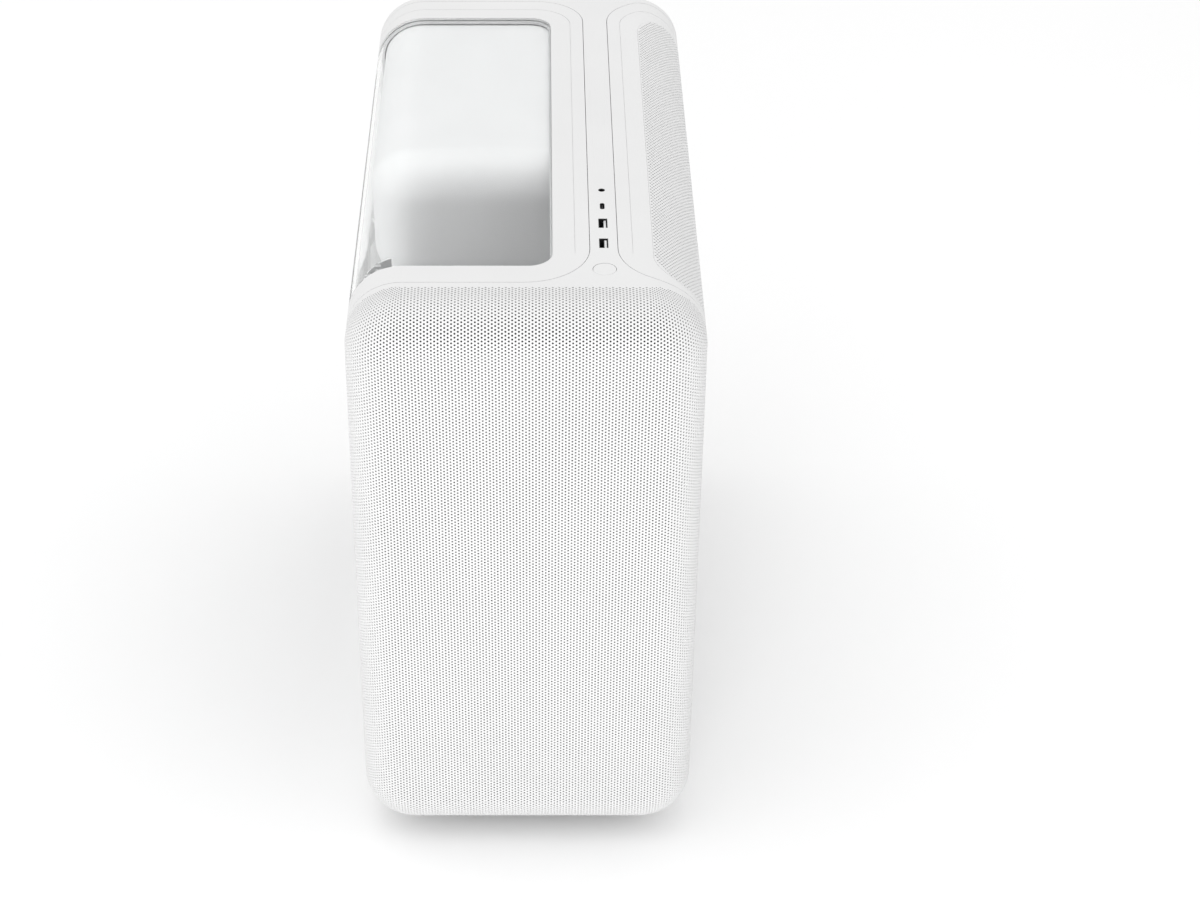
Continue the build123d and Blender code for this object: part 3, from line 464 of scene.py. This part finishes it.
GRAPHICS_HUB = 0.015
HUB_SHARE = 0.16  # a hub's radius, of its fan's width
GRAPHICS_BLADES = 11
SUPPLY_BLADES = 7
CASE_BLADES = 9
DOWN = (0, 0, -1)
FORWARD = (0, -1, 0)
for joint in frame["joints"]:
    if not joint.get("continuous"):
        continue
    upright_axis = abs(joint["axis"][2]) > 0.5
    inlet = DOWN if upright_axis else FORWARD
    if joint["child"].startswith("graphics"):
        rotor(joint, inlet, GRAPHICS_BLADES, GRAPHICS_HUB, DARK)
        continue
    housing = joint["child"].replace("rotor", "frame")
    low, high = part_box(housing)
    hub = (high.x - low.x) * HUB_SHARE
    if joint["child"].startswith(("psu", "cooler")):
        count = SUPPLY_BLADES if upright_axis else CASE_BLADES
        rotor(joint, inlet, count, hub, DARK)
    else:
        rotor(joint, inlet, CASE_BLADES, hub, FAN_WHITE)

# ---- Port tongues ----
# On top: a white tongue in the right half of each opening.
SOCKET_HALF = 0.00645  # half of a socket's length along the case
TONGUE_HALF = 0.0056
TONGUE_SIDES = (0.00045, 0.00225)  # to the right of the opening's middle
TONGUE_DEPTHS = (0.006, 0.0008)
socket_low, socket_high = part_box("usb_sockets")
port_x = (socket_low.x + socket_high.x) / 2
shape = bmesh.new()
for port_y in (socket_low.y + SOCKET_HALF, socket_high.y - SOCKET_HALF):
    brick(
        shape,
        (port_x + TONGUE_SIDES[0], port_y - TONGUE_HALF, socket_high.z - TONGUE_DEPTHS[0]),
        (port_x + TONGUE_SIDES[1], port_y + TONGUE_HALF, socket_high.z - TONGUE_DEPTHS[1]),
        0.00025,
    )
settle("usb_tongues", shape, TONGUE, "root")

# At the rear: black insulators with a tongue, at the bottom of each mouth. A
# port's outer face has four levels: its foot, the mouth's two, and its top.
LEVEL_GAP = 0.00001
MOUTH_WIDE = 0.012
MOUTH_EDGE = 0.003
MOUTH_STEP = 0.016
MOUTH_DEPTH = 0.0036
MOUTH_SLIP = 0.0002
TONGUE_INSET = 0.0015
ports_low, ports_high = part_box("rear_io_ports")
levels = sorted({
    round(vertex.co.z, 5)
    for vertex in nodes["rear_io_ports"].data.vertices
    if vertex.co.y > ports_high.y - LEVEL_GAP
})
floor_y = ports_high.y - MOUTH_DEPTH
shape = bmesh.new()
for mouth_low, mouth_high in zip(levels[1::4], levels[2::4]):
    middle_z = (mouth_low + mouth_high) / 2
    for number in (0, 1):
        left = ports_low.x + MOUTH_EDGE + MOUTH_STEP * number
        right = left + MOUTH_WIDE
        brick(
            shape,
            (left + MOUTH_SLIP, floor_y - 0.0002, mouth_low + MOUTH_SLIP),
            (right - MOUTH_SLIP, floor_y + 0.0006, mouth_high - MOUTH_SLIP),
            0.0001,
        )
        brick(
            shape,
            (left + TONGUE_INSET, floor_y, middle_z - 0.0006),
            (right - TONGUE_INSET, ports_high.y - 0.0008, middle_z + 0.0012),
            0.0002,
        )
settle("rear_port_tongues", shape, BLACK, "root")

# ---- Components on the mainboard, which faces left ----
board_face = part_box("motherboard")[0].x
sprinkle = np.random.default_rng(7)
chips = bmesh.new()
cans = bmesh.new()
chokes = bmesh.new()


def chip(y, z, wide, tall, thick):
    """A packaged chip, or one of the smallest parts."""
    low = (board_face - thick, y - wide / 2, z - tall / 2)
    high = (board_face, y + wide / 2, z + tall / 2)
    brick(chips, low, high, 0.0002)


def can(y, z, radius, tall):
    """An electrolytic capacitor: sleeve, rolled edge and pressed top."""
    profile = [
        (radius, 0), (radius, 0.0008), (radius * 0.93, 0.0012), (radius, 0.0017),
        (radius, tall - 0.0006), (radius - 0.0004, tall), (radius * 0.72, tall),
        (radius * 0.68, tall - 0.0003), (0, tall - 0.0003),
    ]
    turned(cans, profile, facing((board_face, y, z), (-1, 0, 0)), 20)


# A column of coils and a column of capacitors behind the processor.
CHOKE_HALF = 0.0048
CHOKE_THICK = 0.007
CHOKE_STEP = 0.0115
cpu_low, cpu_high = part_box("cpu_socket")
choke_y = cpu_high.y + 0.016
for row in range(8):
    z = cpu_low.z - 0.010 + row * CHOKE_STEP
    brick(
        chokes,
        (board_face - CHOKE_THICK, choke_y - CHOKE_HALF, z - CHOKE_HALF),
        (board_face, choke_y + CHOKE_HALF, z + CHOKE_HALF),
        0.0008,
    )
    can(cpu_high.y + 0.006, z, 0.003, 0.0085)
# The audio capacitors, low at the rear.
for row in range(5):
    can(0.205, 0.070 + row * 0.011, 0.0031, 0.010)
# Y, Z, width, height and thickness of the larger chips.
CHIPS = (
    (0.060, 0.172, 0.014, 0.014, 0.0012),
    (0.205, 0.150, 0.007, 0.007, 0.0012),
    (0.170, 0.186, 0.009, 0.009, 0.001),
    (0.030, 0.180, 0.005, 0.006, 0.0012),
    (0.030, 0.215, 0.006, 0.006, 0.0012),
    (0.180, 0.060, 0.007, 0.007, 0.0012),
)
for row in CHIPS:
    chip(*row)
# Small resistors are strewn over the areas between the larger parts.
SMALL_PART = (0.0016, 0.0009, 0.0006)
SMALL_PARTS_PER_AREA = 40000
FREE_AREAS = (
    ((0.078, 0.100), (0.205, 0.320)),
    ((0.000, 0.036), (0.135, 0.235)),
    ((0.100, 0.185), (0.172, 0.196)),
    ((0.190, 0.228), (0.050, 0.140)),
    ((0.080, 0.180), (0.048, 0.062)),
)
for (y_low, y_high), (z_low, z_high) in FREE_AREAS:
    wide, tall = y_high - y_low, z_high - z_low
    amount = int(wide * tall * SMALL_PARTS_PER_AREA)
    for y, z in sprinkle.random((amount, 2)):
        chip(y_low + y * wide, z_low + z * tall, *SMALL_PART)
settle("board_chips", chips, BLACK, "root")
settle("board_capacitors", cans, STEEL, "root")
settle("board_chokes", chokes, BLACK, "root")

# ---- Screw heads on the rear ----
HEAD = 0.0032
FAN_HOLE_INSET = 0.0075
rear_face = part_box("rear_plate")[1].y
heads = bmesh.new()


def screw_head(spot):
    """A pan head with a round recess."""
    place = facing(spot, (0, 1, 0))
    profile = [
        (HEAD, 0), (HEAD, 0.0007), (HEAD * 0.9, 0.0013), (HEAD * 0.62, 0.0018),
        (HEAD * 0.28, 0.0019), (HEAD * 0.16, 0.0010), (0, 0.0009),
    ]
    turned(heads, profile, place, 24)


fan_low, fan_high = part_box("rear_fan_frame")
for x in (fan_low.x + FAN_HOLE_INSET, fan_high.x - FAN_HOLE_INSET):
    for z in (fan_low.z + FAN_HOLE_INSET, fan_high.z - FAN_HOLE_INSET):
        screw_head((x, rear_face, z))
settle("rear_screw_heads", heads, STEEL, "root")


# ---- Perforated sheets ----
PITCH = 0.00254  # from hole to hole in a column
COLUMN = 0.0022  # from column to column
HOLE = 0.00078
SHEET_DEPTH = 0.0011
EDGE_DEPTH = 0.0015
SAME_POINT = 0.00001
CORNER_STEP = math.pi / 3


def lattice(u_range, v_range):
    """Centres of a hexagonal lattice whose close rows stand along v."""
    columns = np.arange(math.floor(u_range[0] / COLUMN), math.ceil(u_range[1] / COLUMN) + 1)
    rows = np.arange(math.floor(v_range[0] / PITCH) - 1, math.ceil(v_range[1] / PITCH) + 1)
    i, j = np.meshgrid(columns, rows, indexing="ij")
    u = i * COLUMN
    v = (j + 0.5 * (i % 2)) * PITCH
    return np.stack([u.ravel(), v.ravel()], 1)


def hexagons(centres, radius, stretch=1):
    """The six corners of a hexagon about each centre, stretched along u."""
    turn = np.arange(6) * CORNER_STEP
    ring = np.stack([np.cos(turn) * stretch, np.sin(turn)], 1) * radius
    return centres[:, None, :] + ring[None]


def perforated(name, centres, reach, hold, place, material, wall_material):
    """A sheet of small holes and the walls of those holes, as two pieces.

    reach gives how far each flat point lies inside the outline, hold moves
    points back onto it, and place turns flat points and depth into space.
    """
    inside = reach(centres)
    keep = inside > -PITCH * 0.5
    centres, inside = centres[keep], inside[keep]
    open_cell = inside > PITCH * 0.45
    stretch = COLUMN / (PITCH * math.sqrt(3) / 2)
    corners = hexagons(centres, PITCH / math.sqrt(3), stretch).reshape(-1, 2)
    keys = np.round(corners / SAME_POINT).astype(np.int64)
    _, first, index = np.unique(keys, axis=0, return_index=True, return_inverse=True)
    corner_index = index.reshape(-1, 6)
    flat_corners = hold(corners[first])
    rims = hexagons(centres[open_cell], HOLE).reshape(-1, 2)
    rim_index = np.arange(len(rims)).reshape(-1, 6)
    start = len(flat_corners)
    points = place(np.concatenate([flat_corners, rims]), 0)
    outer = corner_index[open_cell]
    inner = rim_index + start
    nxt = np.roll(np.arange(6), -1)
    quads = np.stack([outer, outer[:, nxt], inner[:, nxt], inner], 2).reshape(-1, 4)
    faces = quads.tolist() + corner_index[~open_cell].tolist()
    sheet = new_mesh(name, points, faces, material, smooth=True)
    deep = place(rims, SHEET_DEPTH)
    wall_points = np.concatenate([place(rims, 0), deep])
    low = rim_index + len(rims)
    walls = np.stack([rim_index, rim_index[:, nxt], low[:, nxt], low], 2).reshape(-1, 4)
    bores = new_mesh(name + "_bores", wall_points, walls.tolist(), wall_material, smooth=True)
    return sheet, bores


def backing(name, u, v, hold, place, depth, material):
    """A smooth sheet behind a perforated one, on a plain grid."""
    grid_u, grid_v = np.meshgrid(u, v, indexing="ij")
    flat = hold(np.stack([grid_u.ravel(), grid_v.ravel()], 1))
    points = place(flat, depth)
    across, along = len(u), len(v)
    cell = np.arange(across * along).reshape(across, along)
    quads = np.stack([cell[:-1, :-1], cell[1:, :-1], cell[1:, 1:], cell[:-1, 1:]], 2)
    return new_mesh(name, points, quads.reshape(-1, 4).tolist(), material, smooth=True)


def edge_strip(name, outline, place, depth, material):
    """The cut edge of a sheet, all round its outline."""
    count = len(outline)
    points = np.concatenate([place(outline, 0), place(outline, depth)])
    here = np.arange(count)
    there = np.roll(here, -1)
    quads = np.stack([here, there, there + count, here + count], 1)
    return new_mesh(name, points, quads.tolist(), material)


# The front: its flat middle, then a quarter-round edge, then a short straight skirt.
panel_low, panel_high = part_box("front_mesh_panel")
CASE_ROUND = 0.038
EDGE_ROUND = 0.030
CORE_ROUND = CASE_ROUND - EDGE_ROUND
core = np.array([panel_high.x, (panel_high.z - panel_low.z) / 2]) - CASE_ROUND
middle = np.array([0.0, (panel_high.z + panel_low.z) / 2])
QUARTER = EDGE_ROUND * math.pi / 2
SPREAD = QUARTER + (panel_high.y - panel_low.y - EDGE_ROUND)


def front_parts(flat):
    """For flat points: the core point they start from, direction and distance."""
    base = np.clip(flat, -core, core)
    away = flat - base
    length = np.hypot(away[:, 0], away[:, 1])
    direction = away / np.maximum(length, 1e-9)[:, None]
    return base, direction, length - CORE_ROUND


def front_reach(flat):
    return SPREAD - front_parts(flat)[2]


def front_hold(flat):
    base, direction, distance = front_parts(flat)
    held = base + direction * (SPREAD + CORE_ROUND)
    return np.where((distance > SPREAD)[:, None], held, flat)


def front_place(flat, depth):
    base, direction, distance = front_parts(flat)
    bent = np.clip(distance, 0, QUARTER) / EDGE_ROUND
    skirt = np.maximum(distance - QUARTER, 0)
    run = np.minimum(distance, 0) + CORE_ROUND + (EDGE_ROUND - depth) * np.sin(bent)
    spot = base + direction * run[:, None] + middle
    back = EDGE_ROUND - (EDGE_ROUND - depth) * np.cos(bent) + skirt
    return np.stack([spot[:, 0], panel_low.y + back, spot[:, 1]], 1)


extent = core + CORE_ROUND + SPREAD
front_centres = lattice((-extent[0], extent[0]), (-extent[1], extent[1]))
front_sheet, front_bores = perforated(
    "front_mesh_sheet", front_centres, front_reach, front_hold, front_place, SHEET, BORE
)
steps_u = np.linspace(-extent[0], extent[0], 121)
steps_v = np.linspace(-extent[1], extent[1], 181)
# This liner's dark colour is painted shade, seen through the holes of the front sheet.
front_shade_liner = backing(
    "front_mesh_shade_liner", steps_u, steps_v, front_hold, front_place, SHEET_DEPTH, HOLE_SHADE_BACKING
)
turns = np.linspace(0, 2 * math.pi, 400, endpoint=False)
ring = np.stack([np.cos(turns), np.sin(turns)], 1)
ring_base = np.sign(np.round(ring, 9)) * core
front_outline = ring_base + ring * (SPREAD + CORE_ROUND)
front_edge = edge_strip("front_mesh_edge", front_outline, front_place, EDGE_DEPTH, SHEET)
for piece in (front_sheet, front_bores, front_shade_liner, front_edge):
    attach(piece, "front_panel")
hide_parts("front_mesh_panel")

# The right cover's insert: over the case's top edge, then down the side.
insert_low, insert_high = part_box("side_mesh_insert")
BEND = CASE_ROUND
bend_x, bend_z = insert_high.x - BEND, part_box("backbone_frame")[1].z - BEND
start_angle = math.asin((insert_low.x - bend_x) / BEND)
ARC = BEND * (math.pi / 2 - start_angle)
DROP = ARC + bend_z - insert_low.z
INSERT_ROUND = 0.028
insert_mid = (insert_low.y + insert_high.y) / 2
half_run = (insert_high.y - insert_low.y) / 2


def side_section(down, depth=0.0):
    """X and Z of the sheet at a distance down from its edge on the top."""
    angle = start_angle + np.clip(down, 0, ARC) / BEND
    x = bend_x + (BEND - depth) * np.sin(angle)
    z = bend_z + (BEND - depth) * np.cos(angle) - np.maximum(down - ARC, 0)
    return x, z


def side_hold(flat):
    """flat is (Y from the middle, minus the distance down)."""
    y = np.clip(flat[:, 0], -half_run, half_run)
    down = np.clip(-flat[:, 1], 0, DROP)
    x, z = side_section(down)
    # The corners are quarter circles as seen from above, and from the side.
    along = np.abs(y) - (half_run - INSERT_ROUND)
    top = insert_low.x + INSERT_ROUND - x
    low = insert_low.z + INSERT_ROUND - z
    for inward, is_top in ((top, True), (low, False)):
        radius = np.hypot(np.maximum(along, 0), np.maximum(inward, 0))
        out = (along > 0) & (inward > 0) & (radius > INSERT_ROUND)
        if is_top:
            out &= down < ARC
        scale = np.where(out, INSERT_ROUND / np.maximum(radius, 1e-9), 1)
        y = np.where(out, np.sign(y) * (half_run - INSERT_ROUND + along * scale), y)
        if is_top:
            new_x = insert_low.x + INSERT_ROUND - inward * scale
            bent = np.arcsin(np.clip((new_x - bend_x) / BEND, -1, 1))
            down = np.where(out, (bent - start_angle) * BEND, down)
        else:
            new_z = insert_low.z + INSERT_ROUND - inward * scale
            down = np.where(out, ARC + bend_z - new_z, down)
    return np.stack([y, -down], 1)


def side_reach(flat):
    """About how far each point lies inside the insert's outline."""
    y, down = flat[:, 0], -flat[:, 1]
    x, z = side_section(down)
    plain = np.minimum(half_run - np.abs(y), np.minimum(down, DROP - down))
    along = np.maximum(np.abs(y) - (half_run - INSERT_ROUND), 0)
    for inward in (insert_low.x + INSERT_ROUND - x, insert_low.z + INSERT_ROUND - z):
        corner = INSERT_ROUND - np.hypot(along, np.maximum(inward, 0))
        plain = np.where((along > 0) & (inward > 0), np.minimum(plain, corner), plain)
    return plain


def side_place(flat, depth):
    x, z = side_section(-flat[:, 1], depth)
    return np.stack([x, flat[:, 0] + insert_mid, z], 1)


side_centres = lattice((-half_run, half_run), (-DROP - PITCH, PITCH))
side_sheet, side_bores = perforated(
    "side_mesh_sheet", side_centres, side_reach, side_hold, side_place, SHEET, BORE
)
# This liner's dark colour is painted shade, seen through the holes of the side sheet.
side_shade_liner = backing(
    "side_mesh_shade_liner",
    np.linspace(-half_run, half_run, 161),
    np.linspace(-DROP, 0, 171),
    side_hold,
    side_place,
    SHEET_DEPTH,
    HOLE_SHADE_BACKING,
)
for piece in (side_sheet, side_bores, side_shade_liner):
    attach(piece, "right_cover")
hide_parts("side_mesh_insert")


# ---- Floor, light and camera ----
def floor_look():
    look = Look("studio_floor", (0.93, 0.93, 0.93), 0.9, Specular_IOR_Level=0.1)
    return look.shade(look.noise(3, 2), 0.004).material


FLOOR_SIZE = 60
bpy.ops.mesh.primitive_plane_add(size=FLOOR_SIZE, location=(0, 0, 0))
floor = bpy.context.object
floor.name = "studio_floor"
floor.data.materials.append(floor_look())
floor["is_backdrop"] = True

world = bpy.data.worlds.new("studio")
bpy.context.scene.world = world
world.use_nodes = True
world.node_tree.nodes["Background"].inputs["Color"].default_value = (1, 1, 1, 1)
world.node_tree.nodes["Background"].inputs["Strength"].default_value = 1.0


def soft_light(name, spot, aim, size, power):
    lamp = bpy.data.lights.new(name, "AREA")
    lamp.shape = "DISK"
    lamp.size = size
    lamp.energy = power
    made = bpy.data.objects.new(name, lamp)
    made.location = spot
    made.rotation_euler = (Vector(aim) - Vector(spot)).to_track_quat("-Z", "Y").to_euler()
    bpy.context.scene.collection.objects.link(made)


soft_light("overhead", (-0.5, -0.2, 2.4), (0, 0, 0.2), 2.0, 8)
soft_light("front_fill", (-0.7, -2.9, 0.45), (0, 0, 0.2), 0.8, 14)
soft_light("low_fill", (0.0, -1.4, 0.35), (0, -0.3, 0.1), 0.6, 2.6)

scene = bpy.context.scene
scene.view_settings.view_transform = "Standard"
scene.view_settings.look = "None"

# Solved from the case's own edges; the tilt is measured from straight down.
CAMERA_AT = (0.00925, -1.6603, 1.3218)
CAMERA_TILT = 55.6
FOCAL_LENGTH = 77.04
lens = bpy.data.cameras.new("camera")
lens.sensor_width = 36
lens.lens = FOCAL_LENGTH
lens.shift_x = 0.05
lens.clip_start = 0.05
lens.clip_end = 50
camera = bpy.data.objects.new("camera", lens)
camera.location = CAMERA_AT
camera.rotation_euler = (math.radians(CAMERA_TILT), 0, 0)
scene.collection.objects.link(camera)
scene.camera = camera

low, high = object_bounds()
